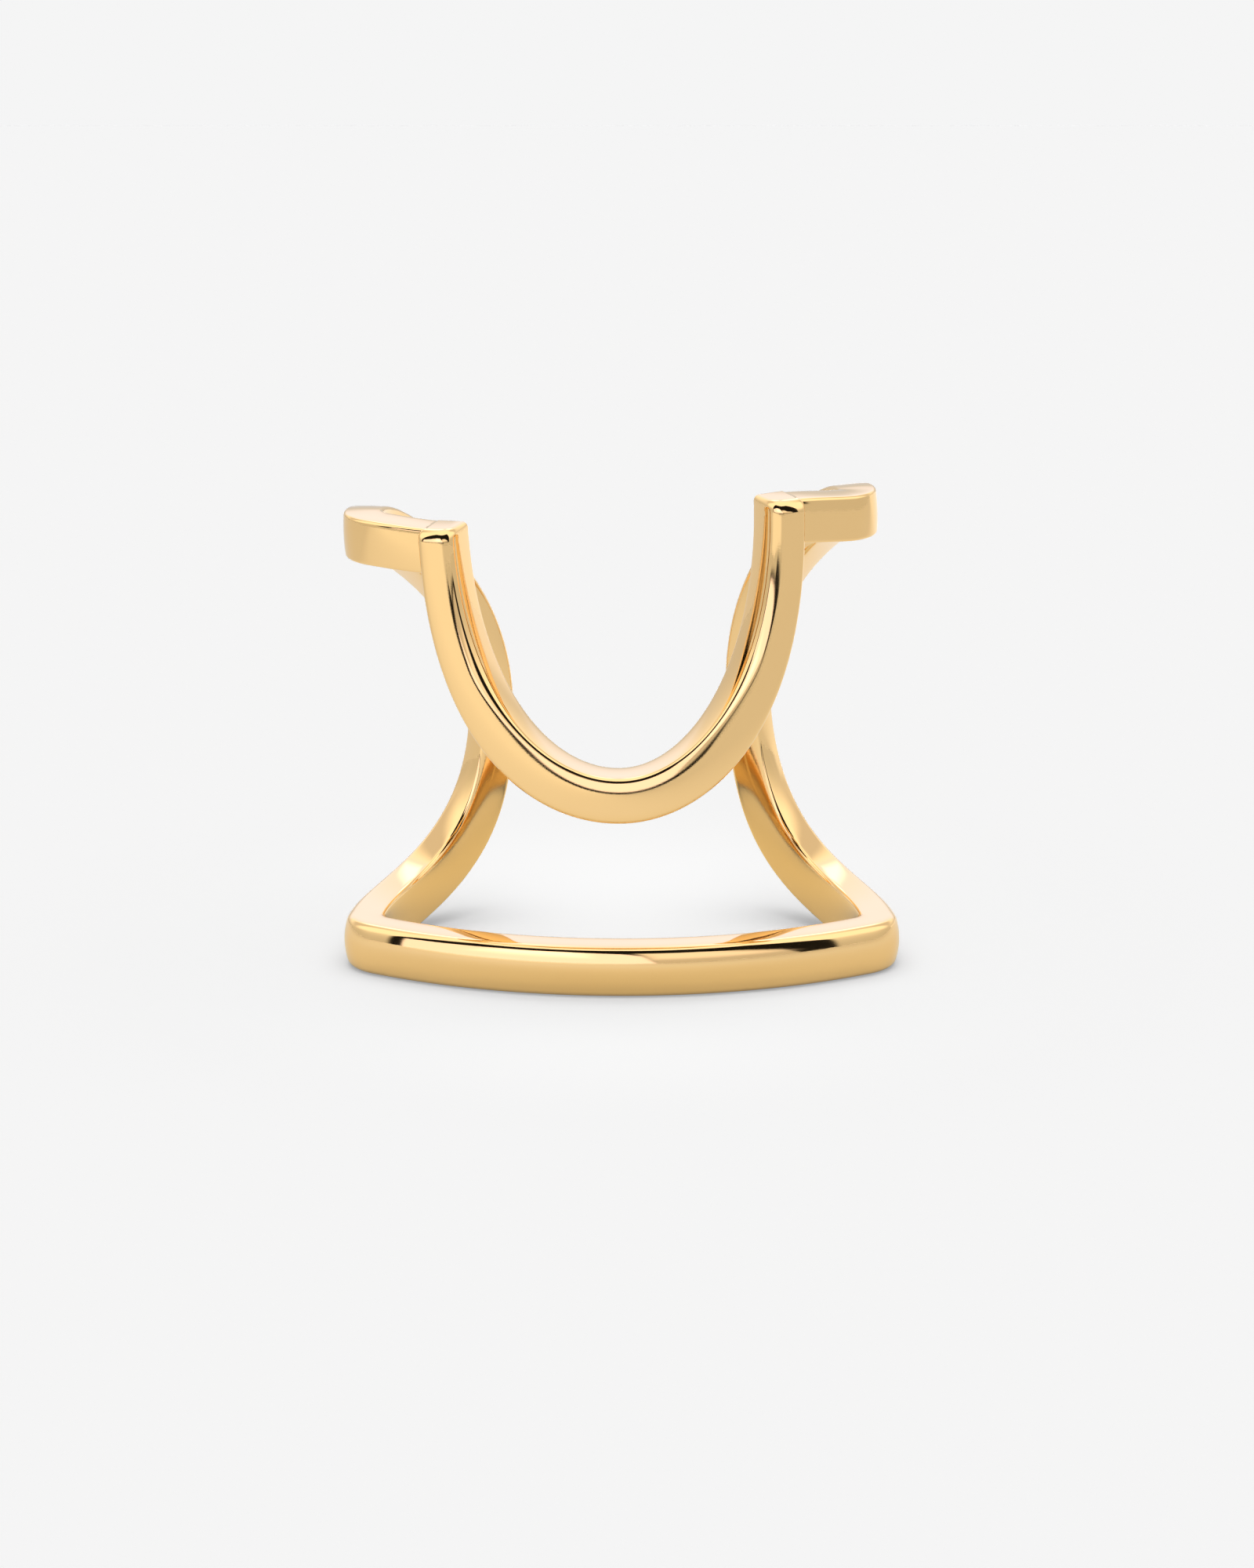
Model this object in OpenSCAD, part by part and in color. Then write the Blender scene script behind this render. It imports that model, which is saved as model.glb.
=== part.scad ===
// Nail ring: one polished gold bar bent round the end of a finger, with a U-shaped frame for the nail.
// The finger stands upright. The ring stands on the flat underside of its lower band, with the front
// towards -Y, the ring's left towards -X and the fingertip up, +Z. All lengths are in millimetres.
// Every bar lies on the wall of an oval tube, the finger. A place on the wall is given by two
// numbers: the way along it from the middle of the front, and the height over the ground.

/* [Overall size] */
// Width across the two lower corners
ring_width = 19.65; // [17.5:0.05:22]
// Height of the top face of the short bars beside the nail frame
top_height = 16.85; // [15.5:0.05:19]

/* [Finger wall] */
// Bend radius of the front, at the middle of the bar
front_radius = 15.5; // [13:0.1:24]
// Bend radius of the wall behind the corners, as more than half of the ring's width
back_slack = 0.06; // [0.01:0.01:2]
// Bend radius at the corners, at the middle of the bar
corner_radius = 1.2; // [1:0.05:1.6]
// How much narrower the wall is at the top bars than on the ground, as a share
wall_taper = 0.053; // [0:0.001:0.08]

/* [Bar] */
// Thickness of the bar, from the finger outwards
bar_thick = 1.45; // [1.2:0.05:1.7]
// Height of the lower band
band_height = 1.85; // [1.4:0.05:2]
// Height of the short top bars
top_bar_height = 1.65; // [1.4:0.05:2]
// Width of each leg at its waist
waist_width = 1.42; // [1.1:0.02:1.8]
// Thickness of each leg at its waist
waist_thick = 1.27; // [1:0.01:1.6]
// Radius of the two outer edges
outer_round = 0.3; // [0.15:0.05:0.4]
// Radius of the two inner edges
inner_round = 0.15; // [0.1:0.05:0.25]
// How far the domed outer face has turned at its edges, in degrees
crown_turn = 16; // [4:1:24]

/* [Back legs] */
// Where each leg starts to rise, past the start of the corner's bend
rise_start = 1.55; // [0:0.05:2]
// How far each leg's waist lies behind its start, along the wall
waist_reach = 8.05; // [7:0.05:9.5]
// Height of the waist, where the legs come closest to each other
waist_height = 7.75; // [6:0.05:9]
// Where each leg meets its top bar, past the start of the corner's bend
top_start = 1.05; // [-1:0.05:1.5]
// How strongly the leg holds the band's direction, then the upright, then the top bar's
leg_pull = [3.65, 6.55, 5.6, 2.9];

/* [Nail frame] */
// Height of the U's lower edge over the ground
frame_bottom = 6.25; // [5.5:0.05:8]
// Way along the wall from the front to the middle of each arm's top
arm_reach = 6.32; // [5.4:0.02:7]
// Width of the U's bar at its lowest point
frame_width_low = 1.65; // [1.2:0.05:1.8]
// Width of the U's bar at the tops of its arms
frame_width_top = 1.3; // [1.1:0.05:1.7]
// Thickness of the U's bar, from the finger outwards
frame_thick = 1.8; // [1.6:0.05:2.1]
// Radius of the U's outer edges
frame_round = 0.25; // [0.15:0.05:0.35]
// Radius of the edges at the tops of the arms
arm_end_round = 0.25; // [0.1:0.05:0.25]
// How strongly the U holds level at its lowest point, then upright at its arms
frame_pull = [3.05, 6.5];
// How much lower the left arm's top, then the right arm's, sits than the back of its top bar
arm_drop = [0.15, -0.33];
// How far the arms lean outwards at their tops, in degrees
arm_flare = 1.5; // [0:0.5:6]

/* [Set of the upper half] */
// How far the top leans over to the left, in degrees
lean = 2.35; // [0:0.05:4]
// How far the top is turned on the finger, anticlockwise from above, in degrees
twist = 1.4; // [0:0.1:4]
// How far the top nods to the front, in degrees
nod = -1.3; // [-3:0.1:6]
// Height of the point that the top is turned about
turn_height = 4.35; // [4:0.05:9]
// Distance of that point behind the front
turn_depth = 7.4; // [2:0.1:9]

/* [Hidden] */

// Pieces of each stretch of the bar
band_pieces = 26;
leg_pieces = 22;
top_bar_pieces = 6;
frame_pieces = 30;
// A clear difference of height or depth where two bars pass into each other
step = 0.03;

half_width = ring_width / 2 - bar_thick / 2;
back_radius = half_width + back_slack;
corner_x = half_width - corner_radius;
corner_y = front_radius - sqrt(pow(front_radius - corner_radius, 2) - pow(corner_x, 2));
back_y = corner_y - sqrt(pow(back_radius - corner_radius, 2) - pow(corner_x, 2));
front_turn = atan2(corner_x, front_radius - corner_y);
back_turn = 180 - atan2(corner_x, corner_y - back_y);
corner_start = front_radius * front_turn * PI / 180;
corner_end = corner_start + corner_radius * (back_turn - front_turn) * PI / 180;

band_middle = band_height / 2;
top_middle = top_height - top_bar_height / 2;
leg_low = [corner_start + rise_start, band_middle];
waist = leg_low + [waist_reach, waist_height - band_middle];
leg_high = [corner_start + top_start, top_middle];
frame_low = [0, frame_bottom + frame_width_low / 2];

function eased(t) = t * t * (3 - 2 * t);
function mixed(a, b, t) = a + (b - a) * t;
function share(t) = max(0, min(1, t));
function unit(v) = v / norm(v);

// A cubic curve from a to d that sets off towards b and arrives from c
function cubic(a, b, c, d, t) =
    pow(1 - t, 3) * a + 3 * t * pow(1 - t, 2) * b + 3 * t * t * (1 - t) * c + pow(t, 3) * d;

// How far the wall has turned away from straight ahead, at a way along it
function wall_turn(along) =
    along < corner_start ? along / front_radius * 180 / PI
    : along < corner_end ? front_turn + (along - corner_start) / corner_radius * 180 / PI
    : back_turn + (along - corner_end) / back_radius * 180 / PI;

function on_arc(x, y, radius, turn) = [x + radius * sin(turn), y - radius * cos(turn)];

function wall_plan(along) =
    along < corner_start ? on_arc(0, front_radius, front_radius, wall_turn(along))
    : along < corner_end ? on_arc(corner_x, corner_y, corner_radius, wall_turn(along))
    : on_arc(0, back_y, back_radius, wall_turn(along));

// A place on the wall, right of the middle for a positive way along it and left for a negative one
function wall_point(place) =
    let (plan = wall_plan(abs(place.x)), narrow = 1 - wall_taper * place.y / top_middle)
    [sign(place.x) * plan.x * narrow, plan.y * narrow, place.y];

function wall_outward(place) =
    let (turn = wall_turn(abs(place.x))) [sign(place.x) * sin(turn), -cos(turn), 0];

// The upper half is turned a little about one point, and the legs take up that turn as they rise
function turned(p, part) =
    let (q = p - [0, turn_depth, turn_height],
         a = nod * part, b = twist * part, c = lean * part,
         r = [q.x, q.y * cos(a) - q.z * sin(a), q.y * sin(a) + q.z * cos(a)],
         s = [r.x * cos(b) - r.y * sin(b), r.x * sin(b) + r.y * cos(b), r.z])
    [s.x * cos(c) - s.z * sin(c), s.y + turn_depth, s.x * sin(c) + s.z * cos(c) + turn_height];

function arc_2d(x, y, radius, from, to, pieces) =
    [for (i = [0 : pieces]) let (g = mixed(from, to, i / pieces)) [x + radius * cos(g), y + radius * sin(g)]];

// The bar's section as [outwards, across] from the middle of its inner face: a flat inner face, flat
// sides and a domed outer face, whose dome runs into the rounded edges without a kink. inset draws
// the whole section in, for the rounded top of an arm.
function bar_section(thick, width, round_out, inset = 0) =
    let (half = width / 2,
         dome = round_out + (half - round_out) / sin(crown_turn),
         edge = thick - dome + (dome - round_out) * cos(crown_turn),
         small_out = max(round_out - inset, 0.02),
         small_in = max(inner_round - inset, 0.02),
         low = inset + small_in,
         side = half - inset)
    concat(
        arc_2d(thick - dome, 0, dome - inset, -crown_turn / 2, crown_turn / 2, 2),
        arc_2d(edge, side - small_out, small_out, crown_turn, 90, 4),
        arc_2d(low, side - small_in, small_in, 90, 180, 2),
        arc_2d(low, small_in - side, small_in, 180, 270, 2),
        arc_2d(edge, small_out - side, small_out, 270, 360 - crown_turn, 4));

// One ring of points round the bar where its middle line passes a place, between two neighbours
function bar_ring(before, place, after, section, depth, part) =
    let (along = unit(wall_point(after) - wall_point(before)),
         facing = wall_outward(place),
         out = unit(facing - (facing * along) * along),
         up = cross(out, along),
         foot = wall_point(place) - out * depth)
    [for (s = section) turned(foot + out * s.x + up * s.y, part)];

function mirrored(places) = [for (i = [len(places) - 1 : -1 : 1]) [-places[i].x, places[i].y]];

// The loop's middle line, from the middle of the band to the inside of an arm
function half_line(drop) = concat(
    [for (i = [0 : band_pieces - 1]) [leg_low.x * i / band_pieces, band_middle]],
    [for (i = [0 : leg_pieces - 1])
        cubic(leg_low, leg_low + [leg_pull[0], 0], waist - [0, min(leg_pull[1], waist.y - leg_low.y)],
            waist, i / leg_pieces)],
    [for (i = [0 : leg_pieces - 1])
        let (t = 1 - pow(1 - i / leg_pieces, 1.3))
        cubic(waist, waist + [0, leg_pull[2]], leg_high + [leg_pull[3], 0], leg_high, t)],
    [for (i = [0 : top_bar_pieces])
        let (t = i / top_bar_pieces)
        [mixed(leg_high.x, arm_reach, t), top_middle - drop * eased(t)]]);

loop_line = concat(mirrored(half_line(arm_drop[0])), half_line(arm_drop[1]));

// A leg is slimmest at its waist, and full where it meets the band and the top bar
function slimness(place) =
    abs(place.x) <= leg_low.x ? 0
    : place.y < waist_height
        ? eased(share((place.y - band_middle) / (waist_height - band_middle)))
        : eased(share((top_middle - place.y) / (top_middle - waist_height)));

// The upper half's turn starts where the leg has left the ground
function turn_share(place) = eased(share((place.y - band_height) / (top_middle - band_height)));

function loop_ring(i) =
    let (place = loop_line[i],
         rise = share((place.y - band_middle) / (top_middle - band_middle)),
         slim = slimness(place),
         thick = mixed(bar_thick, waist_thick, slim),
         width = mixed(mixed(band_height, top_bar_height, rise), waist_width, slim))
    bar_ring(loop_line[max(i - 1, 0)], place, loop_line[min(i + 1, len(loop_line) - 1)],
        bar_section(thick, width, outer_round), thick / 2, turn_share(place));

loop_rings = [for (i = [0 : len(loop_line) - 1]) loop_ring(i)];

// The rounded top of an arm, as steps of a quarter turn
end_turns = [30, 60, 90];
flare = [sin(arm_flare), cos(arm_flare)];

// The U's middle line with how far its section is drawn in, from its lowest point to the top of an
// arm: the plain rings stop one edge radius under the arm's top, and the rounded end follows
function arm_line(drop) =
    let (top = [arm_reach, top_height + step - drop],
         stop = top - flare * arm_end_round)
    concat(
        [for (i = [0 : frame_pieces])
            let (p = cubic(frame_low, frame_low + [frame_pull[0], 0], top - flare * frame_pull[1], top,
                i / frame_pieces))
            if (p.y < stop.y - arm_end_round) [p, 0]],
        [[stop, 0]],
        [for (g = end_turns) [stop + flare * arm_end_round * sin(g), arm_end_round * (1 - cos(g))]]);

function mirrored_arm(line) =
    [for (i = [len(line) - 1 : -1 : 1]) [[-line[i][0].x, line[i][0].y], line[i][1]]];

frame_line = concat(mirrored_arm(arm_line(arm_drop[0])), arm_line(arm_drop[1]));

function frame_ring(place, before, after, inset) =
    let (rise = share((place.y - frame_low.y) / (top_height - frame_low.y)),
         width = mixed(frame_width_low, frame_width_top, eased(rise)))
    bar_ring(before, place, after, bar_section(frame_thick, width, frame_round, inset),
        bar_thick / 2 + step, 1);

frame_rings = [for (i = [0 : len(frame_line) - 1])
    let (last = len(frame_line) - 1)
    frame_ring(frame_line[i][0], frame_line[max(i - 1, 0)][0], frame_line[min(i + 1, last)][0],
        frame_line[i][1])];

// The origin is under the middle of the ring's box
all_points = [for (rings = [loop_rings, frame_rings]) for (r = rings) each r];
xs = [for (p = all_points) p.x];
ys = [for (p = all_points) p.y];
middle = [(min(xs) + max(xs)) / 2, (min(ys) + max(ys)) / 2, 0];

module swept(rings) {
    sides = len(rings[0]);
    last = len(rings) - 1;
    polyhedron(
        points = [for (r = rings) each r],
        faces = concat(
            [[for (k = [sides - 1 : -1 : 0]) k]],
            [[for (k = [0 : sides - 1]) last * sides + k]],
            [for (j = [0 : last - 1], k = [0 : sides - 1])
                let (a = j * sides + k, b = j * sides + (k + 1) % sides)
                each [[a, b + sides, a + sides], [a, b, b + sides]]]));
}

module ring_band() {
    color([0.92, 0.76, 0.46])
    translate(-middle)
    union() {
        swept(loop_rings);
        swept(frame_rings);
    }
}

ring_band();
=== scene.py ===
# %% [markdown]
# A nail ring in polished gold
#
# The ring is one bar of gold, bent round the end of a finger. A level band carries it, two legs rise at
# the back, and a U in front holds the nail. The lesson builds the bar as a profile carried along a path,
# gives it a mirror polish, and lights it the way a jeweller's photographer does.

# %% The frame
import math

import bpy
import numpy as np
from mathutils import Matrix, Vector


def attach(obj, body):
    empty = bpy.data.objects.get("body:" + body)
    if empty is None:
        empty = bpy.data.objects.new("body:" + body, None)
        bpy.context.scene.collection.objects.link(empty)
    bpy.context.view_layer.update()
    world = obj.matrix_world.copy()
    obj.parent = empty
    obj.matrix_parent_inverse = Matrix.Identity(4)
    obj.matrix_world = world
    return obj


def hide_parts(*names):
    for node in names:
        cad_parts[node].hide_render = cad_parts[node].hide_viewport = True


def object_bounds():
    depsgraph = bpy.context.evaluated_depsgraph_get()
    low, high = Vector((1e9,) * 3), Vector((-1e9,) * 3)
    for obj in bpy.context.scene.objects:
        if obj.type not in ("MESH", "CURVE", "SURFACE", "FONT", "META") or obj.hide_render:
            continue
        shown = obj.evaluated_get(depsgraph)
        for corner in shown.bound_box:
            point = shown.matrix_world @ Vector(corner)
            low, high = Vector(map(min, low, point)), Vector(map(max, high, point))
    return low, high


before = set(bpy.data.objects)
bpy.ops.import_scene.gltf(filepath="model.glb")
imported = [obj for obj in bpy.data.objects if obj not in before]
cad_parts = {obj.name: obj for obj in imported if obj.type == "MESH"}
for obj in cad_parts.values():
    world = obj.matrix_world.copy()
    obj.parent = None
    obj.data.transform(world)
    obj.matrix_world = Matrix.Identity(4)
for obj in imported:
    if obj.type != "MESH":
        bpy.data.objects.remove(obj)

MM = 0.001
cad_box = [list(corner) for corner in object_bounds()]
print("box of the construction model, mm:", np.round(np.array(cad_box) / MM, 2).tolist())

# %% [markdown]
# The finger's wall
#
# Every bar of the ring lies on the finger. Seen from above the finger is a lens: a wide arc in front, two
# tight corners, and a rounder arc behind. One could draw that lens as a Bezier curve and snap the bars to
# it. A formula is better here, because then each bar is a flat drawing, way along the wall against
# height, that the wall bends into shape.

# %% Sizes of the wall
ring_width = 19.65 * MM
bar_thick = 1.45 * MM
front_radius = 15.5 * MM
corner_radius = 1.2 * MM
half_width = ring_width / 2 - bar_thick / 2
back_radius = half_width + 0.06 * MM
wall_taper = 0.053

corner_x = half_width - corner_radius
corner_y = front_radius - math.sqrt((front_radius - corner_radius) ** 2 - corner_x ** 2)
back_y = corner_y - math.sqrt((back_radius - corner_radius) ** 2 - corner_x ** 2)
front_turn = math.atan2(corner_x, front_radius - corner_y)
back_turn = math.pi - math.atan2(corner_x, corner_y - back_y)
corner_start = front_radius * front_turn
corner_end = corner_start + corner_radius * (back_turn - front_turn)
print("the corner's bend runs from", round(corner_start / MM, 2), "to", round(corner_end / MM, 2), "mm")

# %% The wall as formulas
band_height = 1.85 * MM
top_height = 16.85 * MM
top_bar_height = 1.65 * MM
band_middle = band_height / 2
top_middle = top_height - top_bar_height / 2


def wall_turn(along):
    """How far the wall has turned from straight ahead: way along each arc over that arc's radius."""
    return np.where(
        along < corner_start,
        along / front_radius,
        np.where(
            along < corner_end,
            front_turn + (along - corner_start) / corner_radius,
            back_turn + (along - corner_end) / back_radius,
        ),
    )


def wall_plan(along):
    """A point of the lens: its arc's centre, plus the radius times sine, and minus cosine, of the turn."""
    turn = wall_turn(along)
    in_front, in_corner = along < corner_start, along < corner_end
    radius = np.where(in_front, front_radius, np.where(in_corner, corner_radius, back_radius))
    centre_x = np.where(in_front, 0, np.where(in_corner, corner_x, 0))
    centre_y = np.where(in_front, front_radius, np.where(in_corner, corner_y, back_y))
    return centre_x + radius * np.sin(turn), centre_y - radius * np.cos(turn)


def on_wall(places):
    """The flat drawing bent round the finger: the lens at each height, narrowed in line with the height."""
    along, height = places[:, 0], places[:, 1]
    x, y = wall_plan(np.abs(along))
    narrow = 1 - wall_taper * height / top_middle
    return np.stack([np.sign(along) * x * narrow, y * narrow, height], axis=1)


def wall_outward(places):
    """The level direction away from the finger: sine and minus cosine of the wall's turn."""
    turn = wall_turn(np.abs(places[:, 0]))
    return np.stack([np.sign(places[:, 0]) * np.sin(turn), -np.cos(turn), 0 * turn], axis=1)


lens = 2 * half_width, back_y + back_radius
print("the lens at the ground, mm:", round(lens[0] / MM, 1), "by", round(lens[1] / MM, 1))

# %% [markdown]
# The bar's profile
#
# A real bar like this is drawn or cast nearly flat on three sides, with a slightly domed outer face. The
# polishing wheel rounds all four edges, more here and less there, and leaves the flat sides a little
# full. On polished metal the eye reads the shape from how reflections bend, so these small arcs matter
# most. A Bevel modifier on a square bar would give one radius everywhere. Here the profile is made of
# arcs that run into each other without a kink, and each has its own radius.

# %% Arcs
quarter = math.pi / 2
dome_pieces, edge_pieces, side_pieces, small_pieces, face_pieces = 16, 10, 6, 6, 12


def arc(centre_out, centre_across, radius, start, end, pieces):
    """Points of an arc in every profile: centre plus radius times cosine and sine of evenly spaced angles."""
    angle = start + (end - start) * np.linspace(0, 1, pieces + 1)[None, :]
    return np.stack([centre_out + radius * np.cos(angle), centre_across + radius * np.sin(angle)], axis=2)


# %% One side of the profile
inner_turn = math.radians(5)


def flank(edge_out, foot_out, side, large, small, crown, full):
    """Three arcs: the outer edge of radius large, the nearly flat side, and the inner edge of radius small.

    The side's arc joins the ends of the two edges. Its radius is half that chord over the sine of full.
    """
    start, end = edge_out + large * np.sin(full), foot_out - small * np.sin(full)
    radius = (start - end) / (2 * np.sin(full))
    middle = side - radius * np.cos(full)
    return np.concatenate(
        [
            arc(edge_out, side - large, large, crown, quarter - full, edge_pieces),
            arc((start + end) / 2, middle, radius, quarter - full, quarter + full, side_pieces)[:, 1:-1],
            arc(foot_out, side - small, small, quarter + full, 2 * quarter - inner_turn, small_pieces),
        ],
        axis=1,
    )


# %% The whole profile
outer_round, inner_round, least_round = 0.3 * MM, 0.15 * MM, 0.02 * MM
crown_low, side_turn = math.radians(16), math.radians(3)


def profiles(thick, width, crown, full, plus_round, minus_round, inset=0.0):
    """One profile for each value of the arrays, measured outwards and across, with its own two outer edges.

    Dome and edges turn alike, by crown, where they meet. So the dome's radius is the half width, less the
    mean edge radius times one minus the sine of crown, over that sine. Its middle shifts away from the
    rounder edge. Sides and inner face are arcs too, which turn by full and by inner_turn each way. Such
    an arc stands proud of its chord by half the chord times the tangent of half the turn. An inset draws
    the whole line in, and every radius with it.
    """
    thick, half, crown, full, plus, minus, inset = (
        v[:, None] for v in np.broadcast_arrays(thick, width / 2, crown, full, plus_round, minus_round, inset)
    )
    short = 1 - np.sin(crown)
    side = half - (thick - inner_round) / 2 * np.tan(full / 2)
    dome = (side - (plus + minus) / 2 * short) / np.sin(crown)
    dome_middle = (minus - plus) / 2 * short
    small = np.maximum(inner_round - inset, least_round)
    face_half = side - inset - small * (1 - math.sin(inner_turn))
    low = inset + small * math.cos(inner_turn) + face_half * math.tan(inner_turn / 2)
    face_radius = face_half / math.sin(inner_turn)
    face_start, face_end = 2 * quarter - inner_turn, 2 * quarter + inner_turn
    face = arc(inset + face_radius, 0 * half, face_radius, face_start, face_end, face_pieces)
    dome_line = arc(thick - dome, dome_middle, dome - inset, -crown, crown, dome_pieces)
    flanks = []
    for edge in (plus, minus):
        edge_out = thick - dome + (dome - edge) * np.cos(crown)
        large = np.maximum(edge - inset, least_round)
        flanks.append(flank(edge_out, low, side - inset, large, small, crown, full))
    return np.concatenate(
        [dome_line[:, 1:-1], flanks[0], face[:, 1:-1], flanks[1][:, ::-1] * [1, -1]], axis=1
    )


band_profile = profiles(bar_thick * np.ones(1), band_height, crown_low, side_turn, outer_round, outer_round)
print("points round a profile:", band_profile.shape[1])

# %% [markdown]
# The loop's path
#
# Bent from wire, the loop would be one length: band, corner, leg, top corner, top bar. A curve object
# with many handles could follow it. In the flat drawing it is simpler: the band and the top bars are
# straight lines, and each leg is two cubic curves that meet upright at its waist. The bends of the
# corners come from the wall, so they need no points of their own. Points spaced evenly along the path
# keep the skin's cells alike.

# %% Helpers for paths
def eased(t):
    """A share from 0 to 1 that starts and stops gently: three t squared minus two t cubed, clipped."""
    t = np.clip(t, 0, 1)
    return t * t * (3 - 2 * t)


def mixed(a, b, t):
    """A value a share t of the way from a to b."""
    return a + (b - a) * t


def cubic(a, b, c, d, count=400):
    """A cubic curve from a, set off towards b, arriving from c at d, as the sum of its four weights."""
    t = np.linspace(0, 1, count)[:, None]
    return (1 - t) ** 3 * a + 3 * t * (1 - t) ** 2 * b + 3 * t * t * (1 - t) * c + t ** 3 * d


def evenly(places, count):
    """The same line with count points at equal steps of length, found by reading along the summed length."""
    way = np.concatenate([[0], np.cumsum(np.linalg.norm(np.diff(places, axis=0), axis=1))])
    steps = np.linspace(0, way[-1], count)
    return np.stack([np.interp(steps, way, places[:, k]) for k in range(2)], axis=1)


# %% The loop's path in the flat drawing
level_steps, loop_steps = 60, 900
arm_reach = 6.32 * MM
arm_drop = (0.15 * MM, -0.33 * MM)
past_corner_low, past_corner_high = 1.55 * MM, 1.05 * MM
waist_back, waist_height = 8.05 * MM, 7.75 * MM
leg_low = np.array([corner_start + past_corner_low, band_middle])
waist = leg_low + np.array([waist_back, waist_height - band_middle])
leg_high = np.array([corner_start + past_corner_high, top_middle])
off_band, under_waist, over_waist, off_top = 3.65 * MM, 6.55 * MM, 5.6 * MM, 2.9 * MM


def half_loop(drop):
    """Half the path: a level line, two cubics that meet upright at the waist, and the top bar's line."""
    along, upright = np.array([1, 0]), np.array([0, 1])
    share = np.linspace(0, 1, level_steps)
    return np.concatenate(
        [
            np.stack([share * leg_low[0], np.full(level_steps, band_middle)], axis=1)[:-1],
            cubic(leg_low, leg_low + off_band * along, waist - under_waist * upright, waist)[:-1],
            cubic(waist, waist + over_waist * upright, leg_high + off_top * along, leg_high)[:-1],
            np.stack([mixed(leg_high[0], arm_reach, share), top_middle - drop * eased(share)], axis=1),
        ]
    )


left_half, right_half = (half_loop(drop) for drop in arm_drop)
loop_places = evenly(np.concatenate([left_half[:0:-1] * [-1, 1], right_half]), loop_steps)
loop_length = np.linalg.norm(np.diff(on_wall(loop_places), axis=0), axis=1).sum()
print("length of the loop's bar, mm:", round(loop_length / MM, 1))

# %% [markdown]
# The set of the upper half
#
# A ring that has been bent open and worn is never quite true. This one leans over a little, and its upper
# half is turned on the finger. Turning only the upper half would break the legs, and a lattice would
# bend the profile too. So each ring of points is turned as a whole, by a share that grows with its height.

# %% Turning the upper half
lean, twist, nod = math.radians(2.35), math.radians(1.4), math.radians(-1.3)
turn_point = np.array([0, 7.4 * MM, 4.35 * MM])


def turned(points, share):
    """Each ring of points turned about turn_point: by nod about X, twist about Z, then lean about Y."""
    a, b, c = (angle * share[:, None] for angle in (nod, twist, lean))
    x, y, z = np.moveaxis(points - turn_point, 2, 0)
    y, z = y * np.cos(a) - z * np.sin(a), y * np.sin(a) + z * np.cos(a)
    x, y = x * np.cos(b) - y * np.sin(b), x * np.sin(b) + y * np.cos(b)
    x, z = x * np.cos(c) - z * np.sin(c), x * np.sin(c) + z * np.cos(c)
    return np.stack([x, y, z], axis=2) + turn_point


print("the upper half turns, degrees:", [round(math.degrees(angle), 2) for angle in (nod, twist, lean)])

# %% A profile carried along a path
def rings_along(places, profile, depth, share):
    """The profile carried along the path: its foot lies depth inside the wall, one side looks outwards.

    At each place the way ahead comes from the neighbours, outward is the wall's own direction made square
    to it, and across is square to both.
    """
    middle = on_wall(places)
    ahead = np.gradient(middle, axis=0)
    ahead /= np.linalg.norm(ahead, axis=1)[:, None]
    outward = wall_outward(places)
    outward -= (outward * ahead).sum(axis=1)[:, None] * ahead
    outward /= np.linalg.norm(outward, axis=1)[:, None]
    across = np.cross(outward, ahead)
    foot = middle - outward * np.broadcast_to(depth, len(places))[:, None]
    points = foot[:, None] + profile[..., :1] * outward[:, None] + profile[..., 1:] * across[:, None]
    return turned(points, share)


# %% [markdown]
# The loop
#
# The bar is full at the band and the top bars and slimmest at the waist of each leg, where the finger
# needs room. A curve's own radius could taper it, but would shrink width, thickness and edges alike. Here
# the slimming is a share that changes with height. So are the dome and the rounding of the edges, which
# are flat and crisp at the top bars and fuller below, where the ring is handled most.

# %% Rings of the loop
waist_width, waist_thick = 1.42 * MM, 1.27 * MM
top_round, crown_top, leg_side_turn = 0.13 * MM, math.radians(5), math.radians(9)
along, height = np.abs(loop_places[:, 0]), loop_places[:, 1]
rise = np.clip((height - band_middle) / (top_middle - band_middle), 0, 1)
below = eased((height - band_middle) / (waist[1] - band_middle))
above = eased((top_middle - height) / (top_middle - waist[1]))
slim = np.where(along <= leg_low[0], 0, np.where(height < waist[1], below, above))
loop_thick = mixed(bar_thick, waist_thick, slim)
loop_width = mixed(mixed(band_height, top_bar_height, rise), waist_width, slim)
loop_share = eased((height - band_height) / (top_middle - band_height))
crisp = eased((height - waist[1]) / (top_middle - top_bar_height - waist[1]))
loop_round, loop_crown = mixed(outer_round, top_round, crisp), mixed(crown_low, crown_top, crisp)
loop_full = mixed(side_turn, leg_side_turn, slim)
loop_profiles = profiles(loop_thick, loop_width, loop_crown, loop_full, loop_round, loop_round)
loop_rings = rings_along(loop_places, loop_profiles, loop_thick / 2, loop_share)
print("rings in the loop:", len(loop_rings))

# %% [markdown]
# The nail frame
#
# The U is a second, thicker bar, soldered between the ends of the loop. The nail slides along its inner
# edge, so that edge is rounder on the arms than elsewhere. Its ends are cut square and their edges
# rounded, in front most of all, where cloth would catch. Such an end is a short run of profiles, each
# drawn in by as much as the edge's circle stands back there.

# %% The path of the nail frame
foot_height, proud = 6.2 * MM, 0.03 * MM
width_low, width_top = 1.68 * MM, 1.3 * MM
frame_low = np.array([0, foot_height + width_low / 2])
flare_turn = math.radians(1.5)
flare = np.array([math.sin(flare_turn), math.cos(flare_turn)])
level_pull, arm_pull = 3.05 * MM, 6.5 * MM
arm_end_front = 0.45 * MM
arm_steps, end_steps = 150, 14
end_way = np.sin(np.linspace(0, quarter, end_steps))


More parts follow.
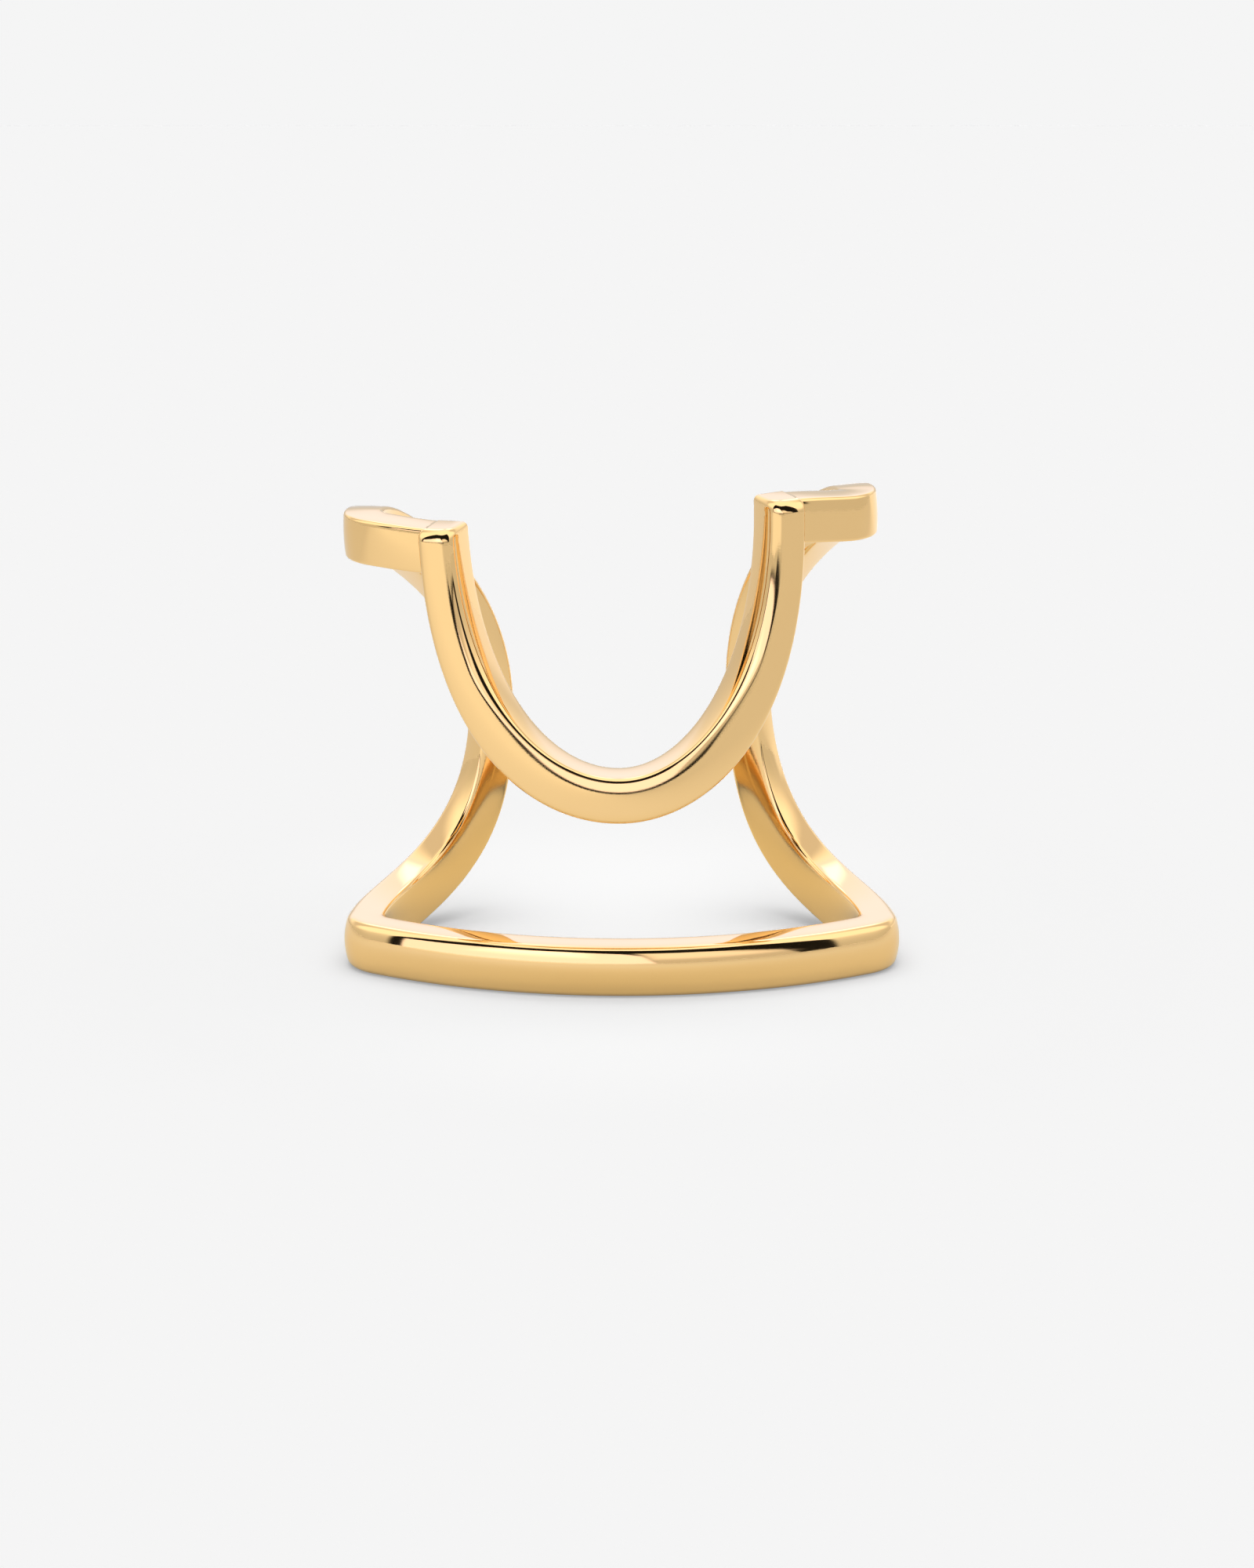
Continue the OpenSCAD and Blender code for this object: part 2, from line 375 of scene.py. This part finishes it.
def half_frame(drop):
    """Half the U: a cubic from its lowest point to where the rounded end begins, then that end's places.

    The end's places lie at the sine of even steps of a quarter turn, closer and closer to its last point.
    """
    top = np.array([arm_reach, top_height + proud - drop])
    stop = top - flare * arm_end_front
    line = cubic(frame_low, frame_low + np.array([level_pull, 0]), top - flare * arm_pull, top)
    line = evenly(line[line[:, 1] < stop[1]], arm_steps)
    return np.concatenate([line[:-1], stop + flare * arm_end_front * end_way[:, None]])


left_arm, right_arm = (half_frame(drop) for drop in arm_drop)
frame_places = np.concatenate([left_arm[:0:-1] * [-1, 1], right_arm])
print("places along the nail frame:", len(frame_places))

# %% Rounded ends of the arms
arm_end_round = 0.25 * MM


def at_both_ends(radius):
    """How far a rounded end stands back at each ring: the radius less the root of its square minus depth's.

    The depth is how far the ring lies inside the rounding: the radius less the way to the end.
    """
    to_end = arm_end_front * (1 - end_way)
    depth = np.clip(radius - to_end, 0, radius)
    back = radius - np.sqrt(radius ** 2 - depth ** 2)
    return np.concatenate([back[::-1], np.zeros(len(frame_places) - 2 * end_steps), back])


frame_inset = at_both_ends(arm_end_round)
frame_front = at_both_ends(arm_end_front) - frame_inset
print("an arm's front edge is rounded by, mm:", round(float(frame_inset[0] + frame_front[0]) / MM, 2))

# %% Rings of the nail frame
frame_thick = 1.8 * MM
nail_round_low, nail_round_arm, far_round = 0.2 * MM, 0.56 * MM, 0.2 * MM
nail_crown_low, nail_crown_arm = math.radians(11.5), math.radians(8)
full_round_share = 0.5
arm_share = eased((frame_places[:, 1] - frame_low[1]) / (top_height - frame_low[1]))
nail_round = mixed(nail_round_low, nail_round_arm, eased(arm_share / full_round_share))
frame_width = mixed(width_low, width_top, arm_share)
frame_crown = mixed(nail_crown_low, nail_crown_arm, arm_share)
frame_rings = rings_along(
    frame_places,
    profiles(
        frame_thick - frame_front, frame_width, frame_crown, side_turn, nail_round, far_round, frame_inset
    ),
    bar_thick / 2 + proud,
    np.ones(len(arm_share)),
)
print("rings in the nail frame:", len(frame_rings))

# %% [markdown]
# From rings to a mesh
#
# The rings are a grid of points, one parameter along the bar and one round it. A curve with a bevel
# object would make such a skin too, but not with a profile that changes on the way. So four neighbours
# make a face, and one flat face closes each end. The whole is laid into the box of the construction
# model, so that the fine skin and the coarse solid stand in the same place.

# %% Laying the rings into the model's box
own = np.concatenate([loop_rings.reshape(-1, 3), frame_rings.reshape(-1, 3)])
own_low, own_high = own.min(axis=0), own.max(axis=0)
box_low, box_high = np.array(cad_box)
fit = (box_high - box_low) / (own_high - own_low)
print("scale that fits the skin to the box, each way:", np.round(fit, 5).tolist())


def in_box(points):
    """Points moved and scaled so that their own lowest and highest corners fall on those of the box."""
    return box_low + (points - own_low) * fit


def bar_skin(name, rings):
    """A closed mesh: face k of ring j joins points k and k + 1 of rings j and j + 1, ends are flat."""
    count, sides = rings.shape[:2]
    mesh = bpy.data.meshes.new(name)
    index = np.arange(count * sides).reshape(count, sides)
    after = np.roll(index, -1, axis=1)
    quads = np.stack([index[:-1], index[1:], after[1:], after[:-1]], axis=2).reshape(-1, 4)
    ends = [index[0].tolist(), index[-1][::-1].tolist()]
    mesh.from_pydata(in_box(rings.reshape(-1, 3)).tolist(), [], quads.tolist() + ends)
    piece = bpy.data.objects.new(name, mesh)
    bpy.context.scene.collection.objects.link(piece)
    return piece


loop_piece = bar_skin("ring_loop", loop_rings)
frame_piece = bar_skin("nail_frame", frame_rings)
print("faces:", len(loop_piece.data.polygons), "and", len(frame_piece.data.polygons))

# %% [markdown]
# Soldering
#
# A soldered joint is one piece of metal. Two overlapping meshes would look almost the same, but a union
# leaves one clean closed skin with a true crease round the joint. The Boolean modifier makes it, and its
# result is kept as the mesh. Weighted normals then let the large flats keep their direction, so that
# only the arcs bend the reflections.

# %% One skin
crease_turn = math.radians(32)
union = loop_piece.modifiers.new("solder", "BOOLEAN")
union.operation = "UNION"
union.solver = "MANIFOLD"
union.object = frame_piece
bpy.context.view_layer.update()
soldered = bpy.data.meshes.new_from_object(
    loop_piece.evaluated_get(bpy.context.evaluated_depsgraph_get())
)
ring = bpy.data.objects.new("polished_ring", soldered)
bpy.context.scene.collection.objects.link(ring)
for used in (loop_piece, frame_piece):
    bpy.data.objects.remove(used)
soldered.shade_smooth()
soldered.set_sharp_from_angle(angle=crease_turn)
weigh = ring.modifiers.new("flats keep their direction", "WEIGHTED_NORMAL")
weigh.keep_sharp = True
print("triangles in the ring:", sum(len(p.vertices) - 2 for p in soldered.polygons))

# %% [markdown]
# Polished gold
#
# Gold has no colour of its own under its surface: all of its colour is in its reflection. So the metal
# is fully metallic, with a warm reflection colour. A perfect mirror looks like a computer's metal.
# Real polish has a trace of haze that varies from place to place, and hairlines from the wheel and
# from wear, too fine to see one by one. Noise on Object coordinates gives both: patches about 2 mm wide,
# and lines a fiftieth of a millimetre thin. Three helpers come first, which floor and light use as well.

# %% Helpers for node materials
def node(tree, kind, inputs=None, **settings):
    """A new shader node with its settings and its input values, by name or number."""
    made = tree.nodes.new(kind)
    for key, value in settings.items():
        setattr(made, key, value)
    for key, value in (inputs or {}).items():
        made.inputs[key].default_value = value
    return made


def socket(tree, made, key, value):
    """Feeds an input with another node's socket or with a plain number."""
    if isinstance(value, bpy.types.NodeSocket):
        tree.links.new(value, made.inputs[key])
    else:
        made.inputs[key].default_value = value


def mix_of(tree, share, low, high):
    """The colour a share of the way from low to high."""
    made = node(tree, "ShaderNodeMix", data_type="RGBA")
    socket(tree, made, 0, share)
    for key, value in ((6, low), (7, high)):
        socket(tree, made, key, value if isinstance(value, bpy.types.NodeSocket) else (*value, 1))
    return made.outputs[2]


# %% The ring's finish
haze_per_metre, hairs_per_metre = 420.0, 6500.0
hair_squeeze, hair_turn = (1.0, 1.0, 7.0), (0.5, 0.3, 0.0)
hair_depth, hair_strength = 0.01 * MM, 0.02
clear_rough, hazy_rough = 0.035, 0.075
deep_gold, pale_gold = (0.915, 0.615, 0.275), (0.935, 0.635, 0.29)


def polished_gold():
    """Metal with two noises: broad haze drives roughness and colour, fine stretched hairlines the bump."""
    material = bpy.data.materials.new("polished_gold")
    material.use_nodes = True
    tree = material.node_tree
    shader = tree.nodes["Principled BSDF"]
    shader.inputs["Metallic"].default_value = 1.0
    where = node(tree, "ShaderNodeTexCoord")

    haze = node(tree, "ShaderNodeTexNoise", {"Scale": haze_per_metre, "Detail": 3.0, "Roughness": 0.55})
    tree.links.new(where.outputs["Object"], haze.inputs["Vector"])
    rough = node(
        tree,
        "ShaderNodeMapRange",
        {"From Min": 0.3, "From Max": 0.7, "To Min": clear_rough, "To Max": hazy_rough},
    )
    tree.links.new(haze.outputs["Fac"], rough.inputs["Value"])
    tree.links.new(rough.outputs["Result"], shader.inputs["Roughness"])

    tone = mix_of(tree, haze.outputs["Fac"], deep_gold, pale_gold)
    tree.links.new(tone, shader.inputs["Base Color"])

    stretch = node(tree, "ShaderNodeMapping", {"Scale": hair_squeeze, "Rotation": hair_turn})
    tree.links.new(where.outputs["Object"], stretch.inputs["Vector"])
    hairs = node(tree, "ShaderNodeTexNoise", {"Scale": hairs_per_metre, "Detail": 2.0, "Roughness": 0.6})
    tree.links.new(stretch.outputs["Vector"], hairs.inputs["Vector"])
    bump = node(tree, "ShaderNodeBump", {"Strength": hair_strength, "Distance": hair_depth})
    tree.links.new(hairs.outputs["Fac"], bump.inputs["Height"])
    tree.links.new(bump.outputs["Normal"], shader.inputs["Normal"])
    return material


ring.data.materials.clear()
ring.data.materials.append(polished_gold())
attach(ring, "root")
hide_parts("ring_band")
print("nodes in the gold:", len(ring.data.materials[0].node_tree.nodes))

# %% [markdown]
# The floor
#
# Jewellery is often shot on a small sheet of matt white acrylic that is lit from below as well. It
# glows, so a thing that stands on it throws hardly any shade, only a thin dark seam where the two touch.
# A plane that is part plain diffuse white and part glow does the same. Under the ring the glow is a little
# stronger, by a painted light that only the camera sees, to make up for the wide faint shade the ring
# throws. To the eye the sheet is even. The metal alone sees painted light and shade on it: a painted glare,
# brighter towards two lamps, in front on the left and behind on the right, a painted shade close to the
# ring, and a painted golden bounce close by, where the ring would throw its own light on it.

# %% A white sheet
floor_side = 0.26
corner = floor_side / 2
floor_mesh = bpy.data.meshes.new("white_floor")
floor_mesh.from_pydata(
    [(-corner, -corner, 0), (corner, -corner, 0), (corner, corner, 0), (-corner, corner, 0)],
    [],
    [(0, 1, 2, 3)],
)
floor = bpy.data.objects.new("white_floor", floor_mesh)
bpy.context.scene.collection.objects.link(floor)
print("side of the sheet, mm:", round(floor_side / MM))

# %% Matt acrylic
acrylic = bpy.data.materials.new("matt_white_acrylic")
acrylic.use_nodes = True
for key, value in {
    "Roughness": 1.0,
    "Specular IOR Level": 0.0,
    "Emission Color": (1, 1, 1, 1),
}.items():
    acrylic.node_tree.nodes["Principled BSDF"].inputs[key].default_value = value
floor_mesh.materials.append(acrylic)

# %% Helpers for sums of nodes
def sum_of(tree, operation, *values):
    """The result of one Math node."""
    made = node(tree, "ShaderNodeMath", operation=operation)
    for key, value in enumerate(values):
        socket(tree, made, key, value)
    return made.outputs["Value"]


def ramp(tree, value, start, end, low=0.0, high=1.0):
    """A smooth step from low, at start, to high, at end."""
    made = node(
        tree,
        "ShaderNodeMapRange",
        {"From Min": start, "From Max": end, "To Min": low, "To Max": high},
        interpolation_type="SMOOTHSTEP",
    )
    tree.links.new(value, made.inputs["Value"])
    return made.outputs["Result"]


# %% How the sheet glows, with a painted glare, a painted shade and a painted light
floor_light = 0.913
floor_glow = 0.34 * floor_light
# painted glare on the sheet, seen only in the metal: brighter in front on the left and behind on the right
lamp_low, lamp_high, lamp_reach, lamp_lean = -0.45, 0.6, 35 * MM, 0.5
# painted shade on the sheet, seen only in the metal: darker close to the ring
near_low, near_high, near_reach = -0.3, 0.0, 20 * MM
# painted light on the sheet, seen only by the camera: brightest under the ring, to cancel its wide shade
lift, lift_start, lift_end = 0.08, 4 * MM, 20 * MM


def sheet_glow(tree, spot, away, path):
    """The sheet's glow, which is raised or lowered by two painted shares where metal mirrors it.

    One share is a painted glare that follows X times Y less a part of X, which is high in front on the
    left and behind on the right. The other, a painted shade, grows with the distance from the middle, so
    that the metal sees the sheet darker close to the ring.
    The sheet doesn't light itself, so the glow counts only before a first diffuse bounce. Where the
    camera sees the sheet, a painted light is added that falls from the middle out, to cancel the ring's
    wide shade.
    """
    place = node(tree, "ShaderNodeSeparateXYZ")
    tree.links.new(spot, place.inputs[0])
    x, y = place.outputs["X"], place.outputs["Y"]
    slant = sum_of(tree, "MULTIPLY", x, sum_of(tree, "SUBTRACT", y, sum_of(tree, "MULTIPLY", x, lamp_lean)))
    # painted glare, for glossy rays only
    lamps = ramp(tree, slant, -lamp_reach ** 2, lamp_reach ** 2, lamp_low, lamp_high)
    # painted shade close to the ring, for glossy rays only
    near = ramp(tree, away, 0, near_reach, near_low, near_high)
    more = sum_of(tree, "MULTIPLY", path["Is Glossy Ray"], sum_of(tree, "ADD", lamps, near))
    direct = sum_of(tree, "LESS_THAN", path["Diffuse Depth"], 0.5)
    glow = sum_of(tree, "MULTIPLY", sum_of(tree, "ADD", more, 1.0), floor_glow)
    # painted light for camera rays, brightest under the ring
    below = ramp(tree, away, lift_start, lift_end, lift, 0.0)
    below = sum_of(tree, "MULTIPLY", below, path["Is Camera Ray"])
    strength = sum_of(tree, "ADD", sum_of(tree, "MULTIPLY", glow, direct), below)
    tree.links.new(strength, tree.nodes["Principled BSDF"].inputs["Emission Strength"])


# %% What colour the sheet has, with a painted golden bounce
floor_white, painted_gold_bounce = 0.9, (0.9, 0.78, 0.45)


def sheet_colour(tree, away, path):
    """White, but near the ring metal sees it tinted by a painted golden bounce of the ring's light."""
    # painted bounce light: golden close to the ring, for glossy rays only
    golden = sum_of(tree, "MULTIPLY", ramp(tree, away, 0, near_reach, 1.0, 0.0), path["Is Glossy Ray"])
    colour = mix_of(tree, golden, (floor_white,) * 3, painted_gold_bounce)
    tree.links.new(colour, tree.nodes["Principled BSDF"].inputs["Base Color"])


# %% Lighting the sheet
def light_the_sheet(tree):
    """Glow and colour of the sheet, both by the place on it and by the kind of ray that asks."""
    spot = node(tree, "ShaderNodeTexCoord").outputs["Object"]
    from_middle = node(tree, "ShaderNodeVectorMath", operation="LENGTH")
    tree.links.new(spot, from_middle.inputs[0])
    away, path = from_middle.outputs["Value"], node(tree, "ShaderNodeLightPath").outputs
    sheet_glow(tree, spot, away, path)
    sheet_colour(tree, away, path)


light_the_sheet(acrylic.node_tree)
print("share of the sheet's light that is its own glow:", round(floor_glow / floor_light, 2))

# %% [markdown]
# The light tent
#
# Polished gold shows its surroundings, so the surroundings are the light. A photographer hangs a white
# tent round the ring, sets bright panels in front, and leaves black gaps between them. The gaps give
# the thin dark lines along the edges that make metal look like metal. Area lights could stand for the
# panels. Here each panel is a shape drawn on the tent in degrees, round to the right from straight in
# front, and up from the floor, because then one list shows at a glance what the metal sees. The shapes
# behind stand on both sides alike, and a later shape covers the earlier ones.

# %% Helpers for shapes on the tent
def inside(tree, place, corners, soft):
    """How far a place lies inside a convex shape with its corners named anticlockwise.

    Each side gives a smooth step of the distance behind it, soft degrees wide each way. The least of
    the steps is the answer.
    """
    mask = None
    corners = np.array(corners, dtype=float)
    for start, end in zip(corners, np.roll(corners, -1, axis=0)):
        way = (end - start) / np.linalg.norm(end - start)
        inwards = np.array([-way[1], way[0]])
        behind = node(tree, "ShaderNodeVectorMath", operation="DOT_PRODUCT")
        behind.inputs[1].default_value = (inwards[0], inwards[1], 0)
        tree.links.new(place, behind.inputs[0])
        offset = float(start @ inwards)
        step = ramp(tree, behind.outputs["Value"], offset - soft, offset + soft)
        mask = step if mask is None else sum_of(tree, "MINIMUM", mask, step)
    return mask


# %% What hangs in the tent
near_floor, up_high, tent_rise = 0.70, 1.40, 30
roof_power = 7.0
black, dim = (0.012, 0.012, 0.012), (0.1, 0.1, 0.1)
cool_panel = (1.46, 1.37, 1.66)

# Each shape has its corners in degrees, how soft its edge is, in degrees too, and its light.
front_shapes = {
    "pale lower right side": ([(118, -12), (150, -12), (150, 5), (118, 5)], 4.0, (1.05, 1.05, 1.1)),
    "black gap in front": ([(-61, -2.5), (56, -2.5), (55, 20), (51, 62), (-61, 62)], 1.0, black),
    "black gap at the sheet's edge": ([(-22, -5.5), (15, -5.5), (17, 0), (-22, 0)], 0.8, black),
    "left panel": (
        [(-57, -1), (9, -1), (5, 12), (-4, 22), (-16, 33), (-34, 33), (-50, 20), (-57, 14)], 0.7, cool_panel
    ),
    "right panel": ([(9, -1), (46, -1), (41, 8), (20, 24), (3, 24)], 0.7, (0.70, 0.69, 0.70)),
    "glow on the right panel": ([(8, 6), (40, 6), (20, 20), (4, 20)], 3.0, (1.26, 1.20, 1.30)),
    "hot lamp": ([(-36, 10), (-10, 10), (-10, 22), (-30, 27)], 5.0, (2.16, 2.0, 2.4)),
}
back_shapes = {
    "grey back corner": ([(112, 6), (146, 30), (146, 62), (112, 62)], 9.0, (0.80, 0.78, 0.80)),
    "white back wall": ([(154, 12), (190, 12), (190, 64), (154, 64)], 8.0, (1.15, 1.25, 1.70)),
    "back lamp": ([(160, 38), (176, 38), (176, 50), (160, 50)], 4.0, (2.3, 2.3, 2.9)),
}
print("shapes on the tent:", len(front_shapes), "and", len(back_shapes))


# %% What the metal sees
def tent_colour(tree, round_right, up):
    """A grey that brightens from the floor up over tent_rise degrees, with the shapes mixed in one by one."""
    colour = ramp(tree, up, 0, tent_rise, near_floor, up_high)
    either_way = sum_of(tree, "ABSOLUTE", round_right)
    for across, shapes in ((either_way, back_shapes), (round_right, front_shapes)):
        place = node(tree, "ShaderNodeCombineXYZ")
        tree.links.new(across, place.inputs[0])
        tree.links.new(up, place.inputs[1])
        for corners, soft, light in shapes.values():
            colour = mix_of(tree, inside(tree, place.outputs[0], corners, soft), colour, light)
    return colour


# %% What the floor gets
def roof_light(tree, rise):
    """The sine of the height, which is rise, raised to roof_power, from the roof straight down.

    It is scaled so that a floor in the open gets as much light as an even tent would give, which takes
    the power plus two, over two.
    """
    straight_down = (floor_light - floor_glow) / floor_white * (roof_power + 2) / 2
    roof = sum_of(tree, "POWER", sum_of(tree, "MAXIMUM", rise, 0.0), roof_power)
    return sum_of(tree, "MULTIPLY", roof, straight_down)


# %% The tent
def light_tent():
    """World light: metal sees the tent's shapes, the floor the roof light, and the camera pale white.

    Round to the right is the angle of X over minus Y, and up is the angle whose sine is Z. Only the first
    bounce gets the roof light, and metal that the floor sees mirrors a dim tent, for a clear shade.
    """
    world = bpy.data.worlds.new("light_tent")
    bpy.context.scene.world = world
    world.use_nodes = True
    tree = world.node_tree
    where = node(tree, "ShaderNodeSeparateXYZ")
    tree.links.new(node(tree, "ShaderNodeTexCoord").outputs["Generated"], where.inputs[0])
    x, y, z = where.outputs
    degrees = 180 / math.pi
    forward = sum_of(tree, "MULTIPLY", y, -1.0)
    round_right = sum_of(tree, "MULTIPLY", sum_of(tree, "ARCTAN2", x, forward), degrees)
    up = sum_of(tree, "MULTIPLY", sum_of(tree, "ARCSINE", z), degrees)

    path = node(tree, "ShaderNodeLightPath").outputs
    from_floor = sum_of(tree, "MINIMUM", path["Diffuse Depth"], 1.0)
    mirrored = mix_of(tree, from_floor, tent_colour(tree, round_right, up), dim)
    first = sum_of(tree, "LESS_THAN", path["Diffuse Depth"], 1.5)
    roof = sum_of(tree, "MULTIPLY", roof_light(tree, z), first)
    colour = mix_of(tree, path["Is Glossy Ray"], roof, mirrored)
    colour = mix_of(tree, path["Is Camera Ray"], colour, (floor_light,) * 3)
    tree.links.new(colour, tree.nodes["Background"].inputs["Color"])
    world.cycles.sampling_method = "NONE"


light_tent()
print("nodes in the light:", len(bpy.context.scene.world.node_tree.nodes))

# %% [markdown]
# The camera
#
# The photograph looks down on the ring a little, from straight in front, through a long lens. The camera
# aims at one point of the ring, and a small shift puts that point where the photograph has it. Moving
# the camera sideways would do that too, but would show more of one side of the ring.

# %% Camera
view_height = math.radians(16.05)
view_distance = 400 * MM
aim_point = np.array([0, 0, 8.0 * MM])
pixels_per_metre = 36.2 / MM
photo_width, photo_height = 1600, 2000
aim_pixel = (793.4, 936.2)

camera_data = bpy.data.cameras.new("camera")
camera = bpy.data.objects.new("camera", camera_data)
bpy.context.scene.collection.objects.link(camera)
bpy.context.scene.camera = camera
camera.location = aim_point + view_distance * np.array([0, -math.cos(view_height), math.sin(view_height)])
camera.rotation_euler = (math.pi / 2 - view_height, 0, 0)
camera_data.sensor_width = 36
camera_data.lens = pixels_per_metre * view_distance * camera_data.sensor_width / photo_height
camera_data.shift_x = (photo_width / 2 - aim_pixel[0]) / photo_height
camera_data.shift_y = (aim_pixel[1] - photo_height / 2) / photo_height
camera_data.clip_start, camera_data.clip_end = 0.01, 50
print("lens, mm:", round(camera_data.lens, 1))

# %% [markdown]
# Colours
#
# A film-like view transform would dull the white floor and the gold, so the colours are shown as they
# are.

# %% Colours as they are
bpy.context.scene.view_settings.view_transform = "Standard"
